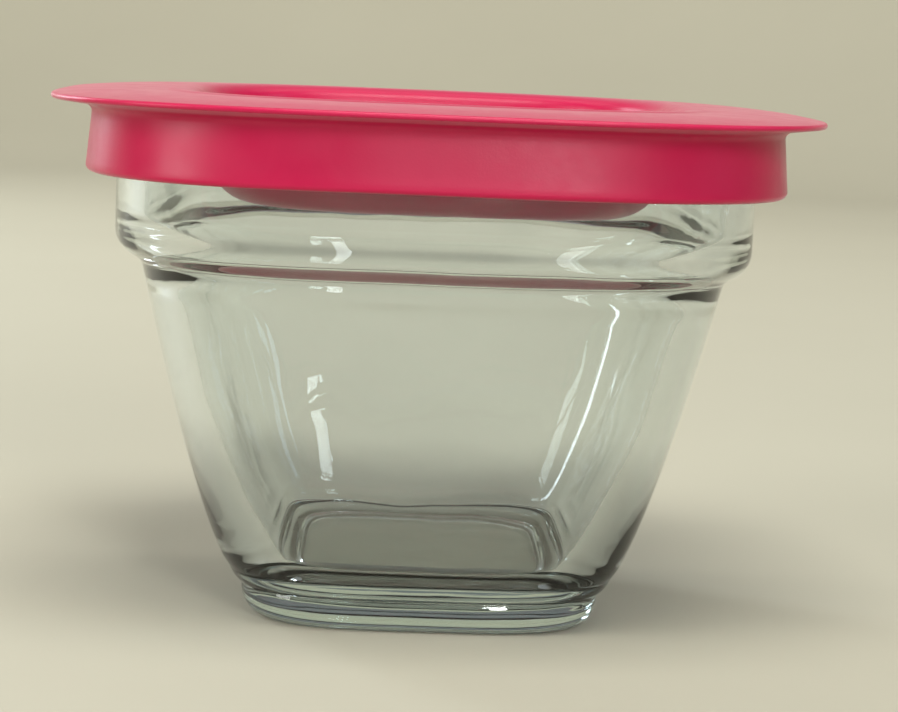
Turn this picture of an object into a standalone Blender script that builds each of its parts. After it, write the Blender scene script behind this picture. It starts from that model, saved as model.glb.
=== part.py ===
"""A square glass food container with rounded corners and a press-on plastic lid.

The bowl is pressed clear glass: a low foot with a rounded lower edge, a fine
notch, a tapering wall, a small shoulder, an upright collar and a beaded rim.
The lid is one moulded piece: a wide brim that droops a little to a thin edge,
a short skirt around the rim and a sunken middle, sized so that the foot of a
second container sits in it.

Every horizontal section is a square with rounded corners, worked out as the
superellipse |x|^n + |y|^n = a^n, where a is the half-width and n says how
square the section is. A profile is a run of (half-width, height, n) sections,
and the skin is extruded from one section to the next.

Lengths are written in millimetres and turned into metres where they are used.
"""
import math

import bmesh
import bpy

MM = 0.001
SEGMENTS = 48                 # points round each section, a multiple of eight

# Squareness of the sections: 2 is a circle, larger is squarer
FOOT_SQUARENESS = 3.85
WALL_FOOT_SQUARENESS = 4.1
WALL_TOP_SQUARENESS = 3.5
COLLAR_SQUARENESS = 3.4
LID_SQUARENESS = 3.3
PANEL_SQUARENESS = 3.1

# Foot of the bowl
BASE_HOLLOW_DEPTH = 1.8
BASE_HOLLOW_HALF = 23.5
BASE_HOLLOW_SLOPE = 2.2       # width of the sloping edge of the hollow
REST_RING_OUTER_HALF = 28.7
FOOT_HALF = 31.9
FOOT_ROUND_HEIGHT = 4.0
FOOT_HEIGHT = 5.1
NOTCH_HALF = 31.4
NOTCH_HEIGHT = 5.7

# Wall of the bowl, outside
HEEL_HALF = 34.5
HEEL_HEIGHT = 8.9
HEEL_ROUND = 0.62             # share of the heel's corner that lies outwards
WALL_TOP_HALF = 50.8
WALL_TOP_HEIGHT = 61.2
WALL_CURVE = 0.78             # under 1 the wall is steeper towards the top
WALL_RINGS = 7
WALL_RING_SPREAD = 1.3        # over 1 the rings lie closer near the heel

# Shoulder, collar and rim
SHOULDER_TOP_HEIGHT = 67.6
COLLAR_HALF = 55.5
SHOULDER_RINGS = 5
COLLAR_TOP_HEIGHT = 79.5
BEAD_HALF = 57.4
BEAD_LOW_HEIGHT = 81.5
BEAD_HIGH_HEIGHT = 85.6
RIM_HEIGHT = 88.7

# Inside of the bowl
WALL_THICKNESS = 4.9
BASE_THICKNESS = 7.6          # of the wall where it meets the floor
THICK_FROM_HEIGHT = 40.0      # below this height the wall thickens
COLLAR_THICKNESS = 4.3
INNER_SHOULDER_HIGH = 71.0
INNER_SHOULDER_LOW = 58.0
FLOOR_HEIGHT = 9.4
FLOOR_FILLET = 8.0
FLOOR_SQUARENESS = 3.8
INNER_WALL_RINGS = 7
FILLET_RINGS = 5

# Lid
LID_GAP = 0.3                 # between the lid and the glass that it rests on
LID_THICKNESS = 2.0
BRIM_HALF = 66.8
BRIM_FLAT_HALF = 52.0         # where the top of the brim starts to droop
BRIM_DROOP = 0.8
BRIM_EDGE_THICKNESS = 1.0
BRIM_ROOT_HEIGHT = 88.2       # where the skirt meets the underside of the brim
SKIRT_TOP_HALF = 60.0
SKIRT_FOOT_HALF = 60.8
SKIRT_FOOT_HEIGHT = 77.1
SKIRT_THICKNESS = 1.9
RIDGE_HEIGHT = 0.25           # low ridge round the sunken middle
RIDGE_HALF = 47.6
RIDGE_WIDTH = 3.2
CHANNEL_CHAMFER = 0.6         # inner corner between the skirt and the brim

# Sunken middle of the lid
PANEL_THICKNESS = 1.8
PANEL_UNDER_HEIGHT = 71.8
PANEL_FLAT_HALF = 33.2
PANEL_CORNER_HALF = 39.6      # where wall and floor would meet, underneath
PANEL_FILLET_HEIGHT = 7.6
PANEL_TOP_HALF = 43.0
PANEL_ROOT_WIDTH = 2.0        # slope where its wall meets the brim, underneath
PANEL_ROOT_HEIGHT = 1.6
PANEL_LIP_WIDTH = 0.4         # how far its wall still leans out at the ridge
RIDGE_BLEND = 0.3             # share of the way from panel to brim squareness

BRIM_UNDER_HEIGHT = RIM_HEIGHT + LID_GAP
BRIM_TOP_HEIGHT = BRIM_UNDER_HEIGHT + LID_THICKNESS


def clear_scene():
    """Remove whatever objects the file holds."""
    for item in list(bpy.data.objects):
        bpy.data.objects.remove(item, do_unlink=True)


def mix(low, high, share):
    """Value that lies the given share of the way from low to high."""
    return low + (high - low) * share


def ease(share):
    """S-curve from 0 to 1 that starts and ends level."""
    return share * share * (3.0 - 2.0 * share)


def quarter(start, end, squareness, steps, flat_first):
    """Quarter of an ellipse from start to end, both (half-width, height).

    flat_first says that the curve leaves start level and reaches end upright;
    otherwise it leaves start upright and reaches end level.
    """
    sections = []
    for step in range(steps + 1):
        turn = 0.5 * math.pi * step / steps
        across, along = math.sin(turn), 1.0 - math.cos(turn)
        if not flat_first:
            across, along = along, across
        half = mix(start[0], end[0], across)
        height = mix(start[1], end[1], along)
        sections.append((half, height, squareness))
    return sections


def rounded_corner(start, corner, end, squareness, steps):
    """Curve that leaves start towards corner and reaches end from corner.

    It is the parabola through start and end whose tangents meet at corner,
    each point given as (half-width, height).
    """
    sections = []
    for step in range(steps + 1):
        share = step / steps
        half = mix(mix(start[0], corner[0], share), mix(corner[0], end[0], share), share)
        height = mix(mix(start[1], corner[1], share), mix(corner[1], end[1], share), share)
        sections.append((half, height, squareness))
    return sections


def wall_squareness(height):
    """Squareness of the wall: squarer near the foot, rounder near the collar."""
    share = (height - NOTCH_HEIGHT) / (WALL_TOP_HEIGHT - NOTCH_HEIGHT)
    return mix(WALL_FOOT_SQUARENESS, WALL_TOP_SQUARENESS, min(max(share, 0.0), 1.0))


def wall_half(height):
    """Outer half-width of the tapering wall at a height."""
    share = (height - HEEL_HEIGHT) / (WALL_TOP_HEIGHT - HEEL_HEIGHT)
    return mix(HEEL_HALF, WALL_TOP_HALF, share ** WALL_CURVE)


def inner_half(height):
    """Inner half-width of the wall, whose glass thickens as a square towards the floor."""
    share = max(0.0, (THICK_FROM_HEIGHT - height) / (THICK_FROM_HEIGHT - FLOOR_HEIGHT))
    return wall_half(height) - mix(WALL_THICKNESS, BASE_THICKNESS, share * share)


def fillet_turn():
    """Angle of the fillet's arc, from the floor to where it meets the wall.

    The arc starts where the wall leans as steeply as the arc does. That
    height is found by halving the range that holds it.
    """
    low, high = FLOOR_HEIGHT, FLOOR_HEIGHT + FLOOR_FILLET
    for _ in range(40):
        middle = 0.5 * (low + high)
        lean = (inner_half(middle + 0.01) - inner_half(middle - 0.01)) / 0.02
        turn = math.atan2(1.0, lean)
        if middle < FLOOR_HEIGHT + FLOOR_FILLET * (1.0 - math.cos(turn)):
            low = middle
        else:
            high = middle
    return turn


def foot_sections():
    """Base hollow, resting ring and rounded foot, from the middle outwards."""
    hollow_edge = BASE_HOLLOW_HALF + BASE_HOLLOW_SLOPE
    sections = [
        (BASE_HOLLOW_HALF, BASE_HOLLOW_DEPTH, FOOT_SQUARENESS),
        (hollow_edge, 0.0, FOOT_SQUARENESS),
    ]
    sections += quarter((REST_RING_OUTER_HALF, 0.0), (FOOT_HALF, FOOT_ROUND_HEIGHT),
                        FOOT_SQUARENESS, 4, True)
    sections.append((FOOT_HALF, FOOT_HEIGHT, FOOT_SQUARENESS))
    return sections


def outer_wall_sections():
    """Notch, rounded heel, tapering wall and shoulder, going up."""
    heel_corner = (mix(NOTCH_HALF, HEEL_HALF, HEEL_ROUND), NOTCH_HEIGHT)
    sections = rounded_corner((NOTCH_HALF, NOTCH_HEIGHT), heel_corner,
                              (HEEL_HALF, HEEL_HEIGHT), WALL_FOOT_SQUARENESS, 4)
    for ring in range(1, WALL_RINGS + 1):
        share = (ring / WALL_RINGS) ** WALL_RING_SPREAD
        height = mix(HEEL_HEIGHT, WALL_TOP_HEIGHT, share)
        sections.append((wall_half(height), height, wall_squareness(height)))
    for ring in range(1, SHOULDER_RINGS + 1):
        share = ring / SHOULDER_RINGS
        sections.append((
            mix(WALL_TOP_HALF, COLLAR_HALF, ease(share)),
            mix(WALL_TOP_HEIGHT, SHOULDER_TOP_HEIGHT, share),
            mix(WALL_TOP_SQUARENESS, COLLAR_SQUARENESS, share),
        ))
    return sections


def rim_sections():
    """Upright collar, bead and rounded rim, over to the inside."""
    inner_half = COLLAR_HALF - COLLAR_THICKNESS
    crest_half = 0.5 * (BEAD_HALF + inner_half)
    sections = [
        (COLLAR_HALF, COLLAR_TOP_HEIGHT, COLLAR_SQUARENESS),
        (BEAD_HALF, BEAD_LOW_HEIGHT, COLLAR_SQUARENESS),
    ]
    sections += quarter((BEAD_HALF, BEAD_HIGH_HEIGHT), (crest_half, RIM_HEIGHT),
                        COLLAR_SQUARENESS, 3, False)
    sections += quarter((crest_half, RIM_HEIGHT), (inner_half, BEAD_HIGH_HEIGHT),
                        COLLAR_SQUARENESS, 3, True)[1:]
    return sections


def inner_sections():
    """Inside of the collar, inner shoulder, wall and floor, going down."""
    collar_half = COLLAR_HALF - COLLAR_THICKNESS
    sections = []
    for ring in range(SHOULDER_RINGS + 1):
        share = ring / SHOULDER_RINGS
        sections.append((
            mix(collar_half, inner_half(INNER_SHOULDER_LOW), ease(share)),
            mix(INNER_SHOULDER_HIGH, INNER_SHOULDER_LOW, share),
            mix(COLLAR_SQUARENESS, WALL_TOP_SQUARENESS, share),
        ))
    turn = fillet_turn()
    fillet_top = FLOOR_HEIGHT + FLOOR_FILLET * (1.0 - math.cos(turn))
    for ring in range(1, INNER_WALL_RINGS + 1):
        share = ring / INNER_WALL_RINGS
        height = mix(INNER_SHOULDER_LOW, fillet_top, share)
        sections.append((inner_half(height), height,
                         mix(WALL_TOP_SQUARENESS, FLOOR_SQUARENESS, share)))
    floor_half = inner_half(fillet_top) - FLOOR_FILLET * math.sin(turn)
    for ring in range(1, FILLET_RINGS + 1):
        angle = turn * (1.0 - ring / FILLET_RINGS)
        sections.append((floor_half + FLOOR_FILLET * math.sin(angle),
                         FLOOR_HEIGHT + FLOOR_FILLET * (1.0 - math.cos(angle)),
                         FLOOR_SQUARENESS))
    return sections


def bowl_sections():
    """Whole skin of the bowl, from the base hollow round to the floor."""
    return foot_sections() + outer_wall_sections() + rim_sections() + inner_sections()


def panel_fillet(lift, inset):
    """Rounded lower edge of the sunken middle, from its wall to its floor.

    lift raises the curve and inset moves it inwards, which turns the curve
    of the underside into the one on top of the plastic.
    """
    height = PANEL_UNDER_HEIGHT + lift
    share = PANEL_FILLET_HEIGHT / (BRIM_UNDER_HEIGHT - PANEL_UNDER_HEIGHT)
    wall_half_width = mix(PANEL_CORNER_HALF, PANEL_TOP_HALF, share) - inset
    return rounded_corner((wall_half_width, height + PANEL_FILLET_HEIGHT - lift),
                          (PANEL_CORNER_HALF - inset, height),
                          (PANEL_FLAT_HALF, height), PANEL_SQUARENESS, 4)


def lid_top_sections():
    """Top of the lid, from the sunken middle out to the edge of the brim."""
    sections = panel_fillet(PANEL_THICKNESS, PANEL_THICKNESS)[::-1]
    wall_top_half = PANEL_TOP_HALF - PANEL_THICKNESS
    crest_half = RIDGE_HALF - 0.5 * RIDGE_WIDTH
    crest_height = BRIM_TOP_HEIGHT + RIDGE_HEIGHT
    sections += rounded_corner((wall_top_half, BRIM_UNDER_HEIGHT),
                               (wall_top_half + PANEL_LIP_WIDTH, crest_height),
                               (crest_half, crest_height), PANEL_SQUARENESS, 3)
    ridge_squareness = mix(PANEL_SQUARENESS, LID_SQUARENESS, RIDGE_BLEND)
    sections.append((RIDGE_HALF, BRIM_TOP_HEIGHT, ridge_squareness))
    return sections


def brim_edge_sections():
    """Drooping top of the brim, its round edge and the sloping underside."""
    radius = 0.5 * BRIM_EDGE_THICKNESS
    edge_top = BRIM_TOP_HEIGHT - BRIM_DROOP
    edge_middle = edge_top - radius
    edge_low = edge_top - BRIM_EDGE_THICKNESS
    centre_half = BRIM_HALF - radius
    droop_half = 0.5 * (BRIM_FLAT_HALF + centre_half)
    sections = rounded_corner((BRIM_FLAT_HALF, BRIM_TOP_HEIGHT), (droop_half, BRIM_TOP_HEIGHT),
                              (centre_half, edge_top), LID_SQUARENESS, 3)
    sections += quarter((centre_half, edge_top), (BRIM_HALF, edge_middle),
                        LID_SQUARENESS, 2, True)[1:]
    sections += quarter((BRIM_HALF, edge_middle), (centre_half, edge_low),
                        LID_SQUARENESS, 2, False)[1:]
    sections.append((SKIRT_TOP_HALF, BRIM_ROOT_HEIGHT, LID_SQUARENESS))
    return sections


def skirt_sections():
    """Outside of the skirt, its rounded lower edge and its inside."""
    radius = 0.5 * SKIRT_THICKNESS
    middle_half = SKIRT_FOOT_HALF - radius
    inner_foot_half = SKIRT_FOOT_HALF - SKIRT_THICKNESS
    inner_top_half = SKIRT_TOP_HALF - SKIRT_THICKNESS
    round_top = SKIRT_FOOT_HEIGHT + radius
    sections = quarter((SKIRT_FOOT_HALF, round_top), (middle_half, SKIRT_FOOT_HEIGHT),
                       LID_SQUARENESS, 2, False)
    sections += quarter((middle_half, SKIRT_FOOT_HEIGHT), (inner_foot_half, round_top),
                        LID_SQUARENESS, 2, True)[1:]
    chamfer_height = BRIM_UNDER_HEIGHT - CHANNEL_CHAMFER
    chamfer_half = inner_top_half - CHANNEL_CHAMFER
    sections.append((inner_top_half, chamfer_height, LID_SQUARENESS))
    sections.append((chamfer_half, BRIM_UNDER_HEIGHT, LID_SQUARENESS))
    return sections


def lid_under_sections():
    """Underside of the lid, from over the rim to under the sunken middle."""
    sections = [
        (PANEL_TOP_HALF + PANEL_ROOT_WIDTH, BRIM_UNDER_HEIGHT, PANEL_SQUARENESS),
        (PANEL_TOP_HALF, BRIM_UNDER_HEIGHT - PANEL_ROOT_HEIGHT, PANEL_SQUARENESS),
    ]
    return sections + panel_fillet(0.0, 0.0)


def lid_sections():
    """Whole skin of the lid, from its sunken middle round to the underside."""
    return lid_top_sections() + brim_edge_sections() + skirt_sections() + lid_under_sections()


def section_points(half, height, squareness):
    """Points in metres round one section, evenly spread in its own angle."""
    power = 2.0 / squareness
    points = []
    for index in range(SEGMENTS):
        turn = 2.0 * math.pi * (index + 0.5) / SEGMENTS
        cosine, sine = math.cos(turn), math.sin(turn)
        across = math.copysign(abs(cosine) ** power, cosine)
        along = math.copysign(abs(sine) ** power, sine)
        points.append((half * across * MM, half * along * MM, height * MM))
    return points


def ring_edges(mesh, corners):
    """Edges that join the corners of a section in turn, made where missing."""
    edges = []
    for start, end in zip(corners, corners[1:] + corners[:1]):
        edges.append(mesh.edges.get((start, end)) or mesh.edges.new((start, end)))
    return edges


def extrude_section(mesh, corners, section):
    """Extrude a section's loop of edges to the next section."""
    made = bmesh.ops.extrude_edge_only(mesh, edges=ring_edges(mesh, corners))
    fresh = {item for item in made["geom"] if isinstance(item, bmesh.types.BMVert)}
    moved = []
    for corner, point in zip(corners, section_points(*section)):
        neighbours = [edge.other_vert(corner) for edge in corner.link_edges]
        twin = next(vert for vert in neighbours if vert in fresh)
        twin.co = point
        moved.append(twin)
    return moved


def loft(name, sections, material):
    """Extrude through the sections into one closed solid with capped ends."""
    mesh = bmesh.new()
    first = [mesh.verts.new(point) for point in section_points(*sections[0])]
    corners = first
    for section in sections[1:]:
        corners = extrude_section(mesh, corners, section)
    for end in (first, corners):
        mesh.faces.new(end)
    bmesh.ops.recalc_face_normals(mesh, faces=mesh.faces[:])
    data = bpy.data.meshes.new(name)
    mesh.to_mesh(data)
    mesh.free()
    data.shade_smooth()
    data.set_sharp_from_angle(angle=math.radians(40.0))
    data.materials.append(material)
    solid = bpy.data.objects.new(name, data)
    bpy.context.scene.collection.objects.link(solid)
    return solid


def make_material(name, colour, roughness, transmission, ior):
    """Principled material with one colour and a chosen gloss."""
    material = bpy.data.materials.new(name)
    material.use_nodes = True
    shader = material.node_tree.nodes["Principled BSDF"]
    shader.inputs["Base Color"].default_value = (*colour, 1.0)
    shader.inputs["Metallic"].default_value = 0.0
    shader.inputs["Roughness"].default_value = roughness
    shader.inputs["Transmission Weight"].default_value = transmission
    shader.inputs["IOR"].default_value = ior
    return material


def build_container():
    """Make the bowl and the lid that rests on its rim."""
    clear_glass = make_material("clear_glass", (0.93, 0.97, 0.95), 0.02, 1.0, 1.51)
    red_plastic = make_material("red_plastic", (0.62, 0.015, 0.055), 0.48, 0.0, 1.49)
    loft("glass_bowl", bowl_sections(), clear_glass)
    loft("lid", lid_sections(), red_plastic)


clear_scene()
build_container()
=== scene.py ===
"""The looks of a square glass food container with a red press-on lid.

Two pieces are made, each one closed skin: the pressed glass bowl and the
moulded lid that rests on its rim. They stand for the two solids of the
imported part, at its size and in its frame: +Z is up, -Y is the front and the
origin is the centre of the base. A plain floor that sweeps up all round,
soft studio lights and the camera finish the scene.

Lengths are named in millimetres and turned into metres by MM.
"""

import logging
import math
from dataclasses import dataclass, field
from enum import Enum

import bpy
import numpy as np
from mathutils import Matrix, Vector


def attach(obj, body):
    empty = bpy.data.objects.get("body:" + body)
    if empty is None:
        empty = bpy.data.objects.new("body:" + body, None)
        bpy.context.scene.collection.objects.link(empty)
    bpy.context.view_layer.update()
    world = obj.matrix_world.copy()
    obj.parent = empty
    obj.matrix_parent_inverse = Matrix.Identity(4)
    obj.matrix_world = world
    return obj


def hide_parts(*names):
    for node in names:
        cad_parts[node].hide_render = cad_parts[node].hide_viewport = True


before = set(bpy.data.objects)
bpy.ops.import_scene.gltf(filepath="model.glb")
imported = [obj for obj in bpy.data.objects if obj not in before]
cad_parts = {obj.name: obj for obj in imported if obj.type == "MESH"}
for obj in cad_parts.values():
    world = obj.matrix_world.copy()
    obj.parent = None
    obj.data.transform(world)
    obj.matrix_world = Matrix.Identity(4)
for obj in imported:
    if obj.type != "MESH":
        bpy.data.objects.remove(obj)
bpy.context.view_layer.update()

MM = 0.001
PHOTO_WIDTH = 898
SENSOR_WIDTH = 36.0
LOG = logging.getLogger("container")

Section = tuple[float, float, float]


class Side(Enum):
    """Which way a quarter round leaves its first section."""

    LEVEL = "level"
    UPRIGHT = "upright"


def ease(share: np.ndarray) -> np.ndarray:
    """S-curve 3s^2 - 2s^3, which starts and ends level.

    Args:
        share: Values from 0 to 1.

    Returns:
        The curve's values, also from 0 to 1.
    """
    return share * share * (3.0 - 2.0 * share)


def straight(start: Section, end: Section, count: int) -> np.ndarray:
    """Sections on a straight line from start to end.

    Args:
        start: Half-width, height and squareness of the first section.
        end: The same for the last section.
        count: How many sections follow the first.

    Returns:
        An array of count + 1 rows of half-width, height and squareness.
    """
    share = np.linspace(0.0, 1.0, count + 1)[:, None]
    return np.array(start) + (np.array(end) - np.array(start)) * share


def quarter(start: Section, end: Section, count: int, leaves: Side) -> np.ndarray:
    """Sections on a quarter of an ellipse from start to end.

    With t from 0 to a quarter turn, one coordinate goes as sin t and the
    other as 1 - cos t, so the curve leaves level and arrives upright, or the
    other way round.

    Args:
        start: Half-width, height and squareness of the first section.
        end: The same for the last section.
        count: How many sections follow the first.
        leaves: Whether the curve leaves start level or upright.

    Returns:
        An array of count + 1 rows of half-width, height and squareness.
    """
    turn = np.linspace(0.0, 0.5 * math.pi, count + 1)
    across, along = np.sin(turn), 1.0 - np.cos(turn)
    if leaves is Side.UPRIGHT:
        across, along = along, across
    share = np.stack([across, along, turn / (0.5 * math.pi)], axis=1)
    return np.array(start) + (np.array(end) - np.array(start)) * share


def bend(start: Section, corner: Section, end: Section, count: int) -> np.ndarray:
    """Sections on the parabola whose tangents at both ends meet at corner.

    The curve is (1-s)^2 start + 2s(1-s) corner + s^2 end.

    Args:
        start: Half-width, height and squareness of the first section.
        corner: Where the two tangents meet.
        end: The same as start, for the last section.
        count: How many sections follow the first.

    Returns:
        An array of count + 1 rows of half-width, height and squareness.
    """
    share = np.linspace(0.0, 1.0, count + 1)[:, None]
    rest = 1.0 - share
    first, middle, last = np.array(start), np.array(corner), np.array(end)
    return rest * rest * first + 2.0 * share * rest * middle + share * share * last


def swing(start: Section, leaving: Section, arriving: Section, end: Section,
          count: int) -> np.ndarray:
    """Sections on the cubic curve drawn by four control sections.

    The curve is (1-s)^3 start + 3s(1-s)^2 leaving + 3s^2(1-s) arriving
    + s^3 end, so it leaves towards leaving and arrives from arriving.

    Args:
        start: Half-width, height and squareness of the first section.
        leaving: Control section that sets the first direction.
        arriving: Control section that sets the last direction.
        end: The same as start, for the last section.
        count: How many sections follow the first.

    Returns:
        An array of count + 1 rows of half-width, height and squareness.
    """
    share = np.linspace(0.0, 1.0, count + 1)[:, None]
    rest = 1.0 - share
    return (rest ** 3 * np.array(start) + 3.0 * share * rest ** 2 * np.array(leaving)
            + 3.0 * share ** 2 * rest * np.array(arriving) + share ** 3 * np.array(end))


def join_runs(runs: list[np.ndarray]) -> np.ndarray:
    """Profile made of runs end to end, without the sections that repeat.

    Args:
        runs: Arrays of sections, each from straight, quarter, bend or swing.

    Returns:
        One array of half-width, height and squareness.
    """
    profile = np.vstack(runs)
    steps = np.linalg.norm(np.diff(profile[:, :2], axis=0), axis=1)
    return profile[np.concatenate([[True], steps > 1e-6])]


@dataclass(frozen=True)
class Ripple:
    """Gentle unevenness of a surface, the sum of a few slow waves.

    Each wave is a cosine of the point's own place along one slanting
    direction, so the pattern has no seam. The waves' directions and phases
    come from one seeded draw.
    """

    height: float
    length: float
    waves: int = 9
    seed: int = 3

    def lift(self, points: np.ndarray) -> np.ndarray:
        """How far each point moves along its normal.

        Args:
            points: Places as an array whose last axis is x, y and z.

        Returns:
            The distances, with the shape of the other axes.
        """
        draw = np.random.default_rng(self.seed)
        ways = draw.normal(size=(self.waves, 3))
        ways /= np.linalg.norm(ways, axis=1, keepdims=True)
        pace = 2.0 * math.pi / (self.length * draw.uniform(0.7, 1.6, self.waves))
        phase = draw.uniform(0.0, 2.0 * math.pi, self.waves)
        turns = np.tensordot(points, ways.T * pace, axes=1) + phase
        return self.height * np.cos(turns).sum(axis=-1) / math.sqrt(self.waves)


@dataclass(frozen=True)
class SquareSkin:
    """A closed skin whose level sections are squares with rounded corners.

    A section is the superellipse |x|^n + |y|^n = a^n, with a the half-width
    and n the squareness. At the angle u its radius is
    a (|cos u|^n + |sin u|^n)^(-1/n). The skin is the grid of the profile's
    sections and evenly spaced angles, and each end of the profile is one
    point on the middle line.
    """

    columns: int = 256

    def grid(self, profile: np.ndarray) -> np.ndarray:
        """Places of the skin's points.

        Args:
            profile: Rows of half-width, height and squareness, in metres.

        Returns:
            An array of sections by angles by x, y and z.
        """
        angle = 2.0 * math.pi * np.arange(self.columns) / self.columns
        half, height, power = (column[:, None] for column in profile.T)
        sum_of_powers = np.abs(np.cos(angle)) ** power + np.abs(np.sin(angle)) ** power
        radius = half * sum_of_powers ** (-1.0 / power)
        level = np.broadcast_to(height, radius.shape)
        return np.stack([radius * np.cos(angle), radius * np.sin(angle), level], axis=-1)

    def normals(self, points: np.ndarray) -> np.ndarray:
        """Unit normals by the cross product of the steps round and along the grid.

        Args:
            points: The array that grid returns.

        Returns:
            An array of the same shape.
        """
        around = np.roll(points, -1, axis=1) - np.roll(points, 1, axis=1)
        along = np.gradient(points, axis=0)
        normal = np.cross(around, along)
        length = np.linalg.norm(normal, axis=-1, keepdims=True)
        return normal / np.maximum(length, 1e-12)

    def faces(self, rows: int) -> list[list[int]]:
        """Corner numbers of the faces, wound so that they point outwards.

        Args:
            rows: How many sections lie between the two end points.

        Returns:
            Triangles round each end point and four-sided faces between.
        """
        column = np.arange(self.columns)
        after = np.roll(column, -1)
        row = 1 + self.columns * np.arange(rows - 1)[:, None]
        quads = np.stack([row + column, row + after, row + self.columns + after,
                          row + self.columns + column], axis=-1)
        last_row, last = 1 + self.columns * (rows - 1), 1 + self.columns * rows
        first_fan = np.stack([np.zeros_like(column), 1 + after, 1 + column], axis=-1)
        last_fan = np.stack([np.full_like(column, last), last_row + column,
                             last_row + after], axis=-1)
        return first_fan.tolist() + quads.reshape(-1, 4).tolist() + last_fan.tolist()

    def build(self, name: str, profile: np.ndarray, ripples: list[Ripple],
              calm: np.ndarray) -> bpy.types.Object:
        """Make the skin as a mesh object.

        Args:
            name: The object's name.
            profile: Rows of half-width, height and squareness, in metres,
                from one point on the middle line to another.
            ripples: Unevenness that moves the points along their normals.
            calm: For each section, the share of the ripples that it takes.

        Returns:
            The new object, in the scene.
        """
        points = self.grid(profile)
        normal = self.normals(points)
        lift = sum(ripple.lift(points) for ripple in ripples) * calm[:, None]
        points = points + normal * lift[..., None]
        corners = np.vstack([points[0, :1], points[1:-1].reshape(-1, 3), points[-1, :1]])
        mesh = bpy.data.meshes.new(name)
        mesh.from_pydata(corners.tolist(), [], self.faces(len(profile) - 2))
        mesh.validate()
        mesh.shade_smooth()
        piece = bpy.data.objects.new(name, mesh)
        bpy.context.scene.collection.objects.link(piece)
        return piece


class NodeSheet:
    """A material's nodes, added by kind and joined by name."""

    def __init__(self, name: str) -> None:
        """Start a material that holds one shader and its output.

        Args:
            name: The material's name.
        """
        self.material = bpy.data.materials.new(name)
        self.material.use_nodes = True
        self.tree = self.material.node_tree
        self.shader = self.tree.nodes["Principled BSDF"]
        self.output = self.tree.nodes["Material Output"]
        self.place = self.add("ShaderNodeTexCoord").outputs["Object"]

    def add(self, kind: str, **settings: object) -> bpy.types.Node:
        """Add a node.

        Args:
            kind: Blender's name for the kind of node.
            **settings: Values of the node's own properties.

        Returns:
            The new node.
        """
        node = self.tree.nodes.new(kind)
        for key, value in settings.items():
            setattr(node, key, value)
        return node

    def join(self, source: bpy.types.NodeSocket, target: bpy.types.NodeSocket) -> None:
        """Link one socket to another.

        Args:
            source: The socket that gives.
            target: The socket that takes.
        """
        self.tree.links.new(source, target)

    def noise(self, scale: float, detail: float = 2.0,
              rough: float = 0.5) -> bpy.types.NodeSocket:
        """Cloudy pattern on the piece's own coordinates.

        Args:
            scale: Patches for each metre.
            detail: How many finer layers are added.
            rough: How strong the finer layers are.

        Returns:
            The pattern's socket, from 0 to 1.
        """
        pattern = self.add("ShaderNodeTexNoise")
        pattern.inputs["Scale"].default_value = scale
        pattern.inputs["Detail"].default_value = detail
        pattern.inputs["Roughness"].default_value = rough
        self.join(self.place, pattern.inputs["Vector"])
        return pattern.outputs["Fac"]

    def spread(self, source: bpy.types.NodeSocket, low: float, high: float,
               to_low: float, to_high: float) -> bpy.types.NodeSocket:
        """Stretch a range of values onto another.

        Args:
            source: The socket that is read.
            low: Value that becomes to_low.
            high: Value that becomes to_high.
            to_low: Result at low and under it.
            to_high: Result at high and over it.

        Returns:
            The result's socket.
        """
        node = self.add("ShaderNodeMapRange")
        for key, value in (("From Min", low), ("From Max", high),
                           ("To Min", to_low), ("To Max", to_high)):
            node.inputs[key].default_value = value
        self.join(source, node.inputs["Value"])
        return node.outputs["Result"]

    def blend_colours(self, share: bpy.types.NodeSocket, first: tuple[float, float, float],
                      second: tuple[float, float, float]) -> bpy.types.NodeSocket:
        """Mix two colours.

        Args:
            share: Socket that is 0 for the first colour and 1 for the second.
            first: Linear red, green and blue.
            second: The same for the other colour.

        Returns:
            The mixed colour's socket.
        """
        node = self.add("ShaderNodeMix", data_type="RGBA")
        ends = {"A_Color": (*first, 1.0), "B_Color": (*second, 1.0)}
        for socket in node.inputs:
            if socket.identifier in ends:
                socket.default_value = ends[socket.identifier]
        self.join(share, node.inputs["Factor"])
        return next(s for s in node.outputs if s.identifier == "Result_Color")

    def bump(self, height: bpy.types.NodeSocket, depth: float,
             under: bpy.types.NodeSocket | None = None) -> bpy.types.NodeSocket:
        """Fine relief.

        Args:
            height: Pattern that is read as height, from 0 to 1.
            depth: Height of the relief in metres.
            under: Relief that this one is laid over.

        Returns:
            The normal's socket.
        """
        node = self.add("ShaderNodeBump")
        node.inputs["Strength"].default_value = 1.0
        node.inputs["Distance"].default_value = depth
        self.join(height, node.inputs["Height"])
        if under is not None:
            self.join(under, node.inputs["Normal"])
        return node.outputs["Normal"]


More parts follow.
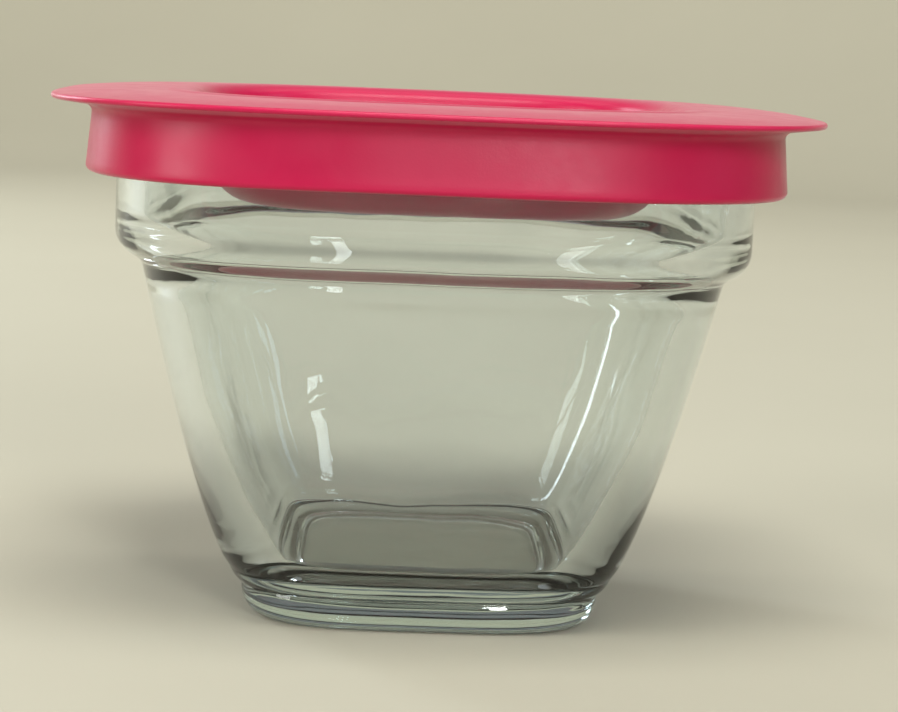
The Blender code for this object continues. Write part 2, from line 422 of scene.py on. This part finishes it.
@dataclass(frozen=True)
class PressedGlass:
    """Clear pressed glass, grey-green where light passes through much of it."""

    name: str = "pressed_glass"
    ior: float = 1.51
    tint: tuple[float, float, float] = (0.900, 0.930, 0.935)
    depth_colour: tuple[float, float, float] = (0.56, 0.74, 0.71)
    depth_density: float = 13.0
    smear_scale: float = 60.0
    smear_range: tuple[float, float] = (0.45, 0.75)
    smear_rough: tuple[float, float] = (0.0, 0.022)
    pitting_scale: float = 420.0
    pitting_depth: float = 0.0015 * MM

    def material(self) -> bpy.types.Material:
        """Glass shader with faint smears, fine pressed relief and a tint with depth.

        Returns:
            The material.
        """
        sheet = NodeSheet(self.name)
        shader = sheet.shader.inputs
        shader["Base Color"].default_value = (*self.tint, 1.0)
        shader["Metallic"].default_value = 0.0
        shader["IOR"].default_value = self.ior
        shader["Transmission Weight"].default_value = 1.0
        smear = sheet.noise(self.smear_scale, detail=4.0, rough=0.6)
        sheet.join(sheet.spread(smear, *self.smear_range, *self.smear_rough), shader["Roughness"])
        pitting = sheet.noise(self.pitting_scale, detail=1.0)
        sheet.join(sheet.bump(pitting, self.pitting_depth), shader["Normal"])
        depth = sheet.add("ShaderNodeVolumeAbsorption")
        depth.inputs["Color"].default_value = (*self.depth_colour, 1.0)
        depth.inputs["Density"].default_value = self.depth_density
        sheet.join(depth.outputs["Volume"], sheet.output.inputs["Volume"])
        return sheet.material


@dataclass(frozen=True)
class SatinPlastic:
    """Soft moulded plastic with a fine satin grain and slight colour drift."""

    name: str = "red_plastic"
    ior: float = 1.40
    deep: tuple[float, float, float] = (0.40, 0.001, 0.042)
    light: tuple[float, float, float] = (0.48, 0.003, 0.060)
    drift_scale: float = 22.0
    gloss_scale: float = 88.0
    gloss_range: tuple[float, float] = (0.35, 0.65)
    grain_scale: float = 2600.0
    grain_depth: float = 0.012 * MM
    sag_scale: float = 140.0
    sag_depth: float = 0.02 * MM
    roughness: tuple[float, float] = (0.33, 0.45)
    bloom: float = 0.2
    bloom_roughness: float = 0.35

    def material(self) -> bpy.types.Material:
        """Plastic shader whose colour, gloss and relief vary a little.

        A pale bloom, as of handled soft plastic, shows where the surface is
        seen at a slant.

        Returns:
            The material.
        """
        sheet = NodeSheet(self.name)
        shader = sheet.shader.inputs
        drift = sheet.noise(self.drift_scale, detail=3.0)
        sheet.join(sheet.blend_colours(drift, self.deep, self.light), shader["Base Color"])
        gloss = sheet.noise(self.gloss_scale, detail=5.0, rough=0.65)
        sheet.join(sheet.spread(gloss, *self.gloss_range, *self.roughness), shader["Roughness"])
        shader["IOR"].default_value = self.ior
        shader["Sheen Weight"].default_value = self.bloom
        shader["Sheen Roughness"].default_value = self.bloom_roughness
        sag = sheet.bump(sheet.noise(self.sag_scale), self.sag_depth)
        grain = sheet.noise(self.grain_scale, detail=2.0, rough=0.6)
        sheet.join(sheet.bump(grain, self.grain_depth, sag), shader["Normal"])
        return sheet.material


@dataclass(frozen=True)
class PlainFloor:
    """Pale matt floor."""

    name: str = "plain_floor"
    pale: tuple[float, float, float] = (0.42, 0.40, 0.305)
    paler: tuple[float, float, float] = (0.45, 0.43, 0.33)
    cloud_scale: float = 6.0
    roughness: float = 0.75

    def material(self) -> bpy.types.Material:
        """Matt shader with a hardly visible cloudiness.

        Returns:
            The material.
        """
        sheet = NodeSheet(self.name)
        cloud = sheet.noise(self.cloud_scale, detail=3.0)
        sheet.join(sheet.blend_colours(cloud, self.pale, self.paler),
                   sheet.shader.inputs["Base Color"])
        sheet.shader.inputs["Roughness"].default_value = self.roughness
        return sheet.material


@dataclass
class GlassBowl:
    """The pressed glass bowl: foot, tapering wall, shoulder, collar and bead.

    Sizes are in millimetres. A half is half the width of a level section.
    The ripples fade out over calm_foot and calm_rim, as shares of the height,
    and over calm_middle round the middle line.
    """

    foot_squareness: float = 3.85
    wall_foot_squareness: float = 4.1
    wall_top_squareness: float = 3.5
    collar_squareness: float = 3.4

    hollow_depth: float = 1.8
    hollow_half: float = 23.5
    hollow_slope: float = 2.2
    ring_half: float = 28.7
    foot_half: float = 31.9
    foot_round_height: float = 4.0
    foot_height: float = 5.1
    notch_half: float = 31.4
    notch_height: float = 5.7

    heel_half: float = 34.5
    heel_height: float = 8.9
    heel_round: float = 0.62
    wall_top_half: float = 50.8
    wall_top_height: float = 61.2
    wall_curve: float = 0.78

    shoulder_top_height: float = 67.6
    collar_half: float = 55.5
    collar_top_height: float = 79.5
    bead_half: float = 57.4
    bead_low_height: float = 81.5
    bead_high_height: float = 85.6
    rim_height: float = 88.7

    wall_thickness: float = 4.9
    base_thickness: float = 7.6
    thick_from_height: float = 40.0
    collar_thickness: float = 4.3
    inner_shoulder_high: float = 71.0
    inner_shoulder_low: float = 58.0
    floor_height: float = 9.4
    floor_fillet: float = 8.0
    floor_squareness: float = 3.8

    press_ripple: Ripple = Ripple(height=0.024 * MM, length=17.0 * MM, seed=5)
    fine_ripple: Ripple = Ripple(height=0.006 * MM, length=6.5 * MM, seed=8)
    calm_foot: float = 0.08
    calm_rim: float = 0.05
    calm_middle: float = 6.0
    finish: PressedGlass = field(default_factory=PressedGlass)

    def wall_half(self, height: np.ndarray | float) -> np.ndarray | float:
        """Outer half-width of the wall, which grows as the height to the wall curve.

        Args:
            height: One height or an array of them.

        Returns:
            The half-width at each height.
        """
        share = (height - self.heel_height) / (self.wall_top_height - self.heel_height)
        return self.heel_half + (self.wall_top_half - self.heel_half) * share ** self.wall_curve

    def inner_half(self, height: np.ndarray | float) -> np.ndarray | float:
        """Inner half-width of the wall, whose glass thickens as a square towards the base.

        Args:
            height: One height or an array of them.

        Returns:
            The half-width at each height.
        """
        share = (self.thick_from_height - height) / (self.thick_from_height - self.floor_height)
        extra = self.base_thickness - self.wall_thickness
        return self.wall_half(height) - self.wall_thickness - extra * np.maximum(share, 0.0) ** 2

    def wall_squareness(self, height: np.ndarray | float) -> np.ndarray | float:
        """Squareness of the wall, which falls evenly from the notch to its top.

        Args:
            height: One height or an array of them.

        Returns:
            The squareness at each height.
        """
        share = (height - self.notch_height) / (self.wall_top_height - self.notch_height)
        return (self.wall_foot_squareness
                + (self.wall_top_squareness - self.wall_foot_squareness) * share)

    def foot(self) -> list[np.ndarray]:
        """Hollow, resting ring, rounded foot and notch, from the middle outwards.

        Returns:
            The runs of sections, in order.
        """
        n = self.foot_squareness
        slope_end = self.hollow_half + self.hollow_slope
        mid_slope = 0.5 * (self.hollow_half + slope_end)
        return [
            straight((0.0, self.hollow_depth, n), (self.hollow_half - 1.0, self.hollow_depth, n), 10),
            bend((self.hollow_half - 1.0, self.hollow_depth, n), (self.hollow_half, self.hollow_depth, n),
                 (mid_slope, 0.5 * self.hollow_depth, n), 4),
            bend((mid_slope, 0.5 * self.hollow_depth, n), (slope_end, 0.0, n),
                 (slope_end + 0.8, 0.0, n), 4),
            quarter((self.ring_half, 0.0, n), (self.foot_half, self.foot_round_height, n),
                    12, Side.LEVEL),
            bend((self.foot_half, self.foot_round_height, n), (self.foot_half, self.foot_height, n),
                 (self.notch_half, self.notch_height, self.wall_foot_squareness), 6),
        ]

    def outer_wall(self) -> list[np.ndarray]:
        """Rounded heel, tapering wall and shoulder, going up.

        Returns:
            The runs of sections, in order.
        """
        n_foot, n_top = self.wall_foot_squareness, self.wall_top_squareness
        corner_half = self.notch_half + (self.heel_half - self.notch_half) * self.heel_round
        heel = bend((self.notch_half, self.notch_height, n_foot),
                    (corner_half, self.notch_height, n_foot),
                    (self.heel_half, self.heel_height, n_foot), 10)
        spread = np.linspace(0.0, 1.0, 37) ** 1.3
        height = self.heel_height + (self.wall_top_height - self.heel_height) * spread
        wall = np.stack([self.wall_half(height), height, self.wall_squareness(height)], axis=1)
        shoulder = swing((self.wall_top_half, self.wall_top_height, n_top),
                         (self.wall_top_half + 0.7, self.wall_top_height + 2.4, n_top),
                         (self.collar_half, self.shoulder_top_height - 4.4, self.collar_squareness),
                         (self.collar_half, self.shoulder_top_height, self.collar_squareness), 18)
        return [heel, wall, shoulder]

    def rim(self) -> list[np.ndarray]:
        """Upright collar, bead and rounded rim, over to the inside.

        Returns:
            The runs of sections, in order.
        """
        n = self.collar_squareness
        inner_half = self.collar_half - self.collar_thickness
        crest_half = 0.5 * (self.bead_half + inner_half)
        return [
            straight((self.collar_half, self.shoulder_top_height, n),
                     (self.collar_half, self.collar_top_height - 1.0, n), 8),
            swing((self.collar_half, self.collar_top_height - 1.0, n),
                  (self.collar_half, self.collar_top_height + 0.3, n),
                  (self.bead_half, self.collar_top_height + 0.6, n),
                  (self.bead_half, self.bead_low_height + 0.4, n), 10),
            quarter((self.bead_half, self.bead_high_height, n),
                    (crest_half, self.rim_height, n), 12, Side.UPRIGHT),
            quarter((crest_half, self.rim_height, n),
                    (inner_half, self.bead_high_height, n), 12, Side.LEVEL),
        ]

    def fillet(self) -> np.ndarray:
        """Half-widths and heights of the round edge of the floor, going down.

        The edge is an arc of a circle that ends level on the floor. It
        starts where the wall leans as steeply as the arc does, which is
        found by halving the range of heights.

        Returns:
            Rows of half-width and height.
        """
        low, high = self.floor_height, self.floor_height + self.floor_fillet
        nudge = 0.01
        for _ in range(40):
            middle = 0.5 * (low + high)
            lean = (self.inner_half(middle + nudge) - self.inner_half(middle - nudge)) / (2.0 * nudge)
            turn = math.atan2(1.0, lean)
            arc_top = self.floor_height + self.floor_fillet * (1.0 - math.cos(turn))
            low, high = (middle, high) if middle < arc_top else (low, middle)
        floor_half = self.inner_half(middle) - self.floor_fillet * math.sin(turn)
        angle = np.linspace(turn, 0.0, 17)
        return np.stack([floor_half + self.floor_fillet * np.sin(angle),
                         self.floor_height + self.floor_fillet * (1.0 - np.cos(angle))], axis=1)

    def inside(self) -> list[np.ndarray]:
        """Inside of the collar, inner shoulder, wall, fillet and floor, going down.

        Returns:
            The runs of sections, in order.
        """
        n_collar, n_floor = self.collar_squareness, self.floor_squareness
        collar = self.collar_half - self.collar_thickness
        low = self.inner_shoulder_low
        n_low = self.wall_squareness(low)
        share = np.linspace(0.0, 1.0, 15)
        below = self.inner_half(low)
        shoulder = np.stack([
            collar + (below - collar) * ease(share),
            self.inner_shoulder_high + (low - self.inner_shoulder_high) * share,
            n_collar + (n_low - n_collar) * share,
        ], axis=1)
        fillet = self.fillet()
        height = np.linspace(low, fillet[0, 1], 31)
        fall = (low - height) / (low - fillet[0, 1])
        wall = np.stack([self.inner_half(height), height, n_low + (n_floor - n_low) * fall], axis=1)
        edge = np.column_stack([fillet, np.full(len(fillet), n_floor)])
        floor_half = fillet[-1, 0]
        return [
            shoulder,
            wall,
            edge,
            straight((floor_half, self.floor_height, n_floor), (0.0, self.floor_height, n_floor), 12),
        ]

    def build(self, skin: SquareSkin) -> bpy.types.Object:
        """Make the bowl and dress it.

        Args:
            skin: The maker of square skins.

        Returns:
            The bowl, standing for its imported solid.
        """
        profile = join_runs(self.foot() + self.outer_wall() + self.rim() + self.inside())
        profile[:, :2] *= MM
        rises = profile[:, 1] / (self.rim_height * MM)
        calm = (np.clip(rises / self.calm_foot, 0.0, 1.0)
                * np.clip((1.0 - rises) / self.calm_rim, 0.0, 1.0))
        calm *= np.clip(profile[:, 0] / (self.calm_middle * MM), 0.0, 1.0)
        piece = skin.build("clear_bowl", profile, [self.press_ripple, self.fine_ripple], calm)
        piece.data.materials.append(self.finish.material())
        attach(piece, "root")
        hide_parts("glass_bowl")
        return piece


@dataclass
class PressOnLid:
    """The moulded lid: wide brim, short skirt and sunken middle.

    Sizes are in millimetres. A half is half the width of a level section.
    The warp fades out under warp_top, a share of the height, over the share
    warp_fade, and over calm_middle round the middle line.
    """

    squareness: float = 3.3
    panel_squareness: float = 3.1

    rim_height: float = 88.7
    gap: float = 0.3
    thickness: float = 2.0
    brim_half: float = 66.7
    brim_flat_half: float = 52.0
    brim_droop: float = 0.8
    brim_edge_thickness: float = 1.0
    brim_root_height: float = 88.2
    skirt_top_half: float = 60.0
    skirt_foot_half: float = 60.8
    skirt_foot_height: float = 77.1
    skirt_thickness: float = 1.9
    ridge_height: float = 0.25
    ridge_half: float = 47.6
    ridge_width: float = 3.2

    panel_thickness: float = 1.8
    panel_under_height: float = 71.8
    panel_flat_half: float = 33.2
    panel_corner_half: float = 39.6
    panel_fillet_height: float = 7.6
    panel_top_half: float = 43.0
    panel_root_width: float = 2.0
    panel_root_height: float = 1.6
    ridge_blend: float = 0.3

    warp: Ripple = Ripple(height=0.05 * MM, length=55.0 * MM, waves=5, seed=12)
    warp_top: float = 0.9
    warp_fade: float = 0.2
    calm_middle: float = 6.0
    finish: SatinPlastic = field(default_factory=SatinPlastic)

    @property
    def under_height(self) -> float:
        """Height of the brim's underside, which rests over the rim."""
        return self.rim_height + self.gap

    @property
    def top_height(self) -> float:
        """Height of the brim's top."""
        return self.under_height + self.thickness

    def panel(self, lift: float, inset: float) -> list[np.ndarray]:
        """Flat and rounded edge of the sunken middle, from the middle outwards.

        Args:
            lift: How far the curve is raised above the underside.
            inset: How far it is moved inwards.

        Returns:
            The flat run and the curve up to the wall.
        """
        n = self.panel_squareness
        height = self.panel_under_height + lift
        share = self.panel_fillet_height / (self.under_height - self.panel_under_height)
        wall_half = (self.panel_corner_half
                     + (self.panel_top_half - self.panel_corner_half) * share - inset)
        return [
            straight((0.0, height, n), (self.panel_flat_half, height, n), 14),
            bend((self.panel_flat_half, height, n), (self.panel_corner_half - inset, height, n),
                 (wall_half, self.panel_under_height + self.panel_fillet_height, n), 14),
        ]

    def underside(self) -> list[np.ndarray]:
        """Underside, from below the sunken middle out to the skirt's inside.

        Returns:
            The runs of sections, in order.
        """
        n, under = self.panel_squareness, self.under_height
        root_half = self.panel_top_half + self.panel_root_width
        root_low = under - self.panel_root_height
        inner_top = self.skirt_top_half - self.skirt_thickness
        return self.panel(0.0, 0.0) + [
            straight((self.panel_top_half - 0.2, root_low - 1.0, n), (self.panel_top_half, root_low, n), 2),
            bend((self.panel_top_half, root_low, n), (self.panel_top_half + 0.4, under, n),
                 (root_half, under, n), 6),
            straight((root_half, under, n), (inner_top - 0.6, under, self.squareness), 8),
            bend((inner_top - 0.6, under, self.squareness), (inner_top, under, self.squareness),
                 (inner_top, under - 0.8, self.squareness), 4),
        ]

    def skirt(self) -> list[np.ndarray]:
        """Inside, rounded lower edge and outside of the skirt, then up to the brim.

        Returns:
            The runs of sections, in order.
        """
        n = self.squareness
        radius = 0.5 * self.skirt_thickness
        middle = self.skirt_foot_half - radius
        inner_foot = self.skirt_foot_half - self.skirt_thickness
        round_top = self.skirt_foot_height + radius
        root = self.brim_root_height
        inner_top = self.skirt_top_half - self.skirt_thickness
        return [
            straight((inner_top, self.under_height - 0.8, n), (inner_foot, round_top, n), 8),
            quarter((inner_foot, round_top, n), (middle, self.skirt_foot_height, n), 7, Side.UPRIGHT),
            quarter((middle, self.skirt_foot_height, n), (self.skirt_foot_half, round_top, n),
                    7, Side.LEVEL),
            straight((self.skirt_foot_half, round_top, n), (self.skirt_top_half, root - 1.2, n), 10),
            bend((self.skirt_top_half, root - 1.2, n), (self.skirt_top_half, root, n),
                 (self.skirt_top_half + 1.6, root + 0.35, n), 8),
        ]

    def brim(self) -> list[np.ndarray]:
        """Sloping underside, full round edge and drooping top of the brim, going inwards.

        Returns:
            The runs of sections, in order.
        """
        n = self.squareness
        radius = 0.5 * self.brim_edge_thickness
        centre = self.brim_half - radius
        edge_top = self.top_height - self.brim_droop
        edge_low = edge_top - self.brim_edge_thickness
        droop = 0.5 * (self.brim_flat_half + centre)
        crest = self.top_height + self.ridge_height
        ridge_n = self.panel_squareness + (n - self.panel_squareness) * self.ridge_blend
        inner = self.ridge_half - 0.5 * self.ridge_width
        return [
            straight((self.skirt_top_half + 1.6, self.brim_root_height + 0.35, n),
                     (centre, edge_low, n), 6),
            quarter((centre, edge_low, n), (self.brim_half, edge_low + radius, n), 8, Side.LEVEL),
            quarter((self.brim_half, edge_low + radius, n), (centre, edge_top, n), 8, Side.UPRIGHT),
            bend((centre, edge_top, n), (droop, self.top_height, n),
                 (self.brim_flat_half, self.top_height, n), 14),
            straight((self.brim_flat_half, self.top_height, n),
                     (self.ridge_half, self.top_height, ridge_n), 6),
            swing((self.ridge_half, self.top_height, ridge_n),
                  (self.ridge_half - 0.6, self.top_height, ridge_n),
                  (inner + 0.6, crest, ridge_n), (inner, crest, self.panel_squareness), 8),
        ]

    def sunken_middle(self) -> list[np.ndarray]:
        """Lip, wall, fillet and flat of the sunken middle, going inwards.

        Returns:
            The runs of sections, in order.
        """
        n = self.panel_squareness
        crest = self.top_height + self.ridge_height
        inner = self.ridge_half - 0.5 * self.ridge_width
        wall_top = self.panel_top_half - self.panel_thickness
        lip = bend((inner, crest, n), (wall_top + 0.4, crest, n), (wall_top, self.under_height, n), 9)
        floor = [run[::-1] for run in self.panel(self.panel_thickness, self.panel_thickness)[::-1]]
        return [lip] + floor

    def build(self, skin: SquareSkin) -> bpy.types.Object:
        """Make the lid and dress it.

        Args:
            skin: The maker of square skins.

        Returns:
            The lid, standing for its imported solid.
        """
        profile = join_runs(self.underside() + self.skirt() + self.brim() + self.sunken_middle())
        profile[:, :2] *= MM
        low, high = self.panel_under_height * MM, self.top_height * MM
        rises = (profile[:, 1] - low) / (high - low)
        calm = (np.clip(profile[:, 0] / (self.calm_middle * MM), 0.0, 1.0)
                * np.clip((self.warp_top - rises) / self.warp_fade, 0.0, 1.0))
        piece = skin.build("moulded_lid", profile, [self.warp], calm)
        piece.data.materials.append(self.finish.material())
        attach(piece, "root")
        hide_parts("lid")
        return piece


@dataclass(frozen=True)
class SoftLight:
    """One rectangular studio light, aimed at a point."""

    name: str
    place: tuple[float, float, float]
    width: float
    height: float
    power: float
    colour: tuple[float, float, float] = (1.0, 1.0, 1.0)
    target: tuple[float, float, float] = (0.0, 0.0, 0.05)

    def build(self) -> bpy.types.Object:
        """Make the light.

        Returns:
            The light, in the scene.
        """
        data = bpy.data.lights.new(self.name, "AREA")
        data.shape = "RECTANGLE"
        data.size = self.width
        data.size_y = self.height
        data.energy = self.power
        data.color = self.colour
        lamp = bpy.data.objects.new(self.name, data)
        aim = Vector(self.target) - Vector(self.place)
        lamp.matrix_world = (Matrix.Translation(self.place)
                             @ aim.to_track_quat("-Z", "Y").to_matrix().to_4x4())
        bpy.context.scene.collection.objects.link(lamp)
        return lamp


@dataclass
class Studio:
    """Floor, surroundings and lights."""

    flat_radius: float = 1.3
    sweep_radius: float = 0.6
    floor_columns: int = 96
    sweep_sections: int = 32
    sky_low: tuple[float, float, float] = (1.02, 1.0, 0.95)
    sky_high: tuple[float, float, float] = (0.50, 0.52, 0.55)
    sky_strength: float = 0.29
    lights: tuple[SoftLight, ...] = (
        SoftLight("window_front", (0.252, -1.09, 0.46), 0.13, 0.50, 6.5, (1.0, 1.0, 1.0)),
        SoftLight("window_small", (0.165, -1.09, 0.50), 0.02, 0.08, 0.5, (0.9, 0.95, 1.0)),
        SoftLight("window_left", (-0.95, -0.52, 0.42), 0.45, 0.80, 7.5, (1.0, 0.99, 0.97)),
        SoftLight("window_side", (-0.82, 0.80, 0.44), 0.16, 0.60, 6.0, (0.85, 0.92, 1.0)),
        SoftLight("window_right", (0.95, -0.30, 0.60), 0.30, 0.60, 2.0, (0.65, 0.80, 1.0)),
        SoftLight("overhead", (0.05, -0.45, 1.15), 0.6, 0.6, 12.0, (1.0, 0.98, 0.95)),
        SoftLight("backdrop_wash", (0.0, 0.55, 1.25), 1.8, 0.4, 19.0, (1.0, 0.98, 0.94), (0.0, 1.9, 0.25)),
    )

    def floor(self) -> bpy.types.Object:
        """Flat disc that sweeps up into a quarter round all the way about.

        The profile is a radius that grows evenly to the edge of the flat and
        then follows a quarter circle, and the surface is that profile turned
        round the middle.

        Returns:
            The floor.
        """
        count = self.floor_columns
        turn = np.linspace(0.0, 0.5 * math.pi, self.sweep_sections + 1)[1:]
        radius = np.concatenate([[0.5 * self.flat_radius, self.flat_radius],
                                 self.flat_radius + self.sweep_radius * np.sin(turn)])
        height = np.concatenate([[0.0, 0.0], self.sweep_radius * (1.0 - np.cos(turn))])
        column = np.arange(count)
        angle = 2.0 * math.pi * column / count
        points = np.stack([np.outer(radius, np.cos(angle)), np.outer(radius, np.sin(angle)),
                           np.broadcast_to(height[:, None], (len(radius), count))], axis=-1)
        after = np.roll(column, -1)
        row = count * np.arange(len(radius) - 1)[:, None]
        quads = np.stack([row + column, row + count + column, row + count + after, row + after],
                         axis=-1)
        middle = [column.tolist()]
        mesh = bpy.data.meshes.new("studio_floor")
        mesh.from_pydata(points.reshape(-1, 3).tolist(), [], middle + quads.reshape(-1, 4).tolist())
        mesh.shade_smooth()
        mesh.materials.append(PlainFloor().material())
        floor = bpy.data.objects.new("studio_floor", mesh)
        bpy.context.scene.collection.objects.link(floor)
        return floor

    def surroundings(self) -> None:
        """Soft light from all round, paler near the horizon than overhead."""
        world = bpy.data.worlds.new("studio")
        bpy.context.scene.world = world
        world.use_nodes = True
        nodes, links = world.node_tree.nodes, world.node_tree.links
        way = nodes.new("ShaderNodeTexCoord")
        split = nodes.new("ShaderNodeSeparateXYZ")
        ramp = nodes.new("ShaderNodeValToRGB")
        ramp.color_ramp.elements[0].color = (*self.sky_low, 1.0)
        ramp.color_ramp.elements[1].color = (*self.sky_high, 1.0)
        links.new(way.outputs["Generated"], split.inputs[0])
        links.new(split.outputs["Z"], ramp.inputs["Fac"])
        links.new(ramp.outputs["Color"], nodes["Background"].inputs["Color"])
        nodes["Background"].inputs["Strength"].default_value = self.sky_strength

    def build(self) -> None:
        """Make the floor, the surroundings and every light."""
        self.floor()
        self.surroundings()
        for light in self.lights:
            light.build()
        bpy.context.scene.view_settings.view_transform = "Standard"


@dataclass(frozen=True)
class Viewpoint:
    """The camera, at the photographed viewing angle.

    The heading is the turn from straight ahead towards +X, the dip is how far
    it looks down and the roll lowers the right side of the picture.
    """

    place: tuple[float, float, float] = (-14.63 * MM, -472.36 * MM, 103.67 * MM)
    heading: float = 0.03962
    dip: float = 0.12452
    roll: float = 0.04167
    focal_pixels: float = 2627.6

    def build(self) -> bpy.types.Object:
        """Make the camera and set it as the scene's own.

        Returns:
            The camera.
        """
        forward = Vector((math.sin(self.heading) * math.cos(self.dip),
                          math.cos(self.heading) * math.cos(self.dip), -math.sin(self.dip)))
        level = Vector((math.cos(self.heading), -math.sin(self.heading), 0.0))
        upward = level.cross(forward)
        right = math.cos(self.roll) * level + math.sin(self.roll) * upward
        top = math.cos(self.roll) * upward - math.sin(self.roll) * level
        data = bpy.data.cameras.new("viewpoint")
        data.sensor_width = SENSOR_WIDTH
        data.lens = self.focal_pixels * SENSOR_WIDTH / PHOTO_WIDTH
        data.clip_start, data.clip_end = 0.02, 20.0
        camera = bpy.data.objects.new("viewpoint", data)
        turned = Matrix((right, top, -forward)).transposed().to_4x4()
        camera.matrix_world = Matrix.Translation(self.place) @ turned
        bpy.context.scene.collection.objects.link(camera)
        bpy.context.scene.camera = camera
        return camera


def main() -> None:
    """Build the camera, the studio and the two pieces, in that order."""
    logging.basicConfig(level=logging.INFO, format="%(name)s: %(message)s")
    Viewpoint().build()
    Studio().build()
    skin = SquareSkin()
    for part in (GlassBowl(), PressOnLid()):
        piece = part.build(skin)
        LOG.info("%s: %d faces", piece.name, len(piece.data.polygons))


if __name__ == "__main__":
    main()
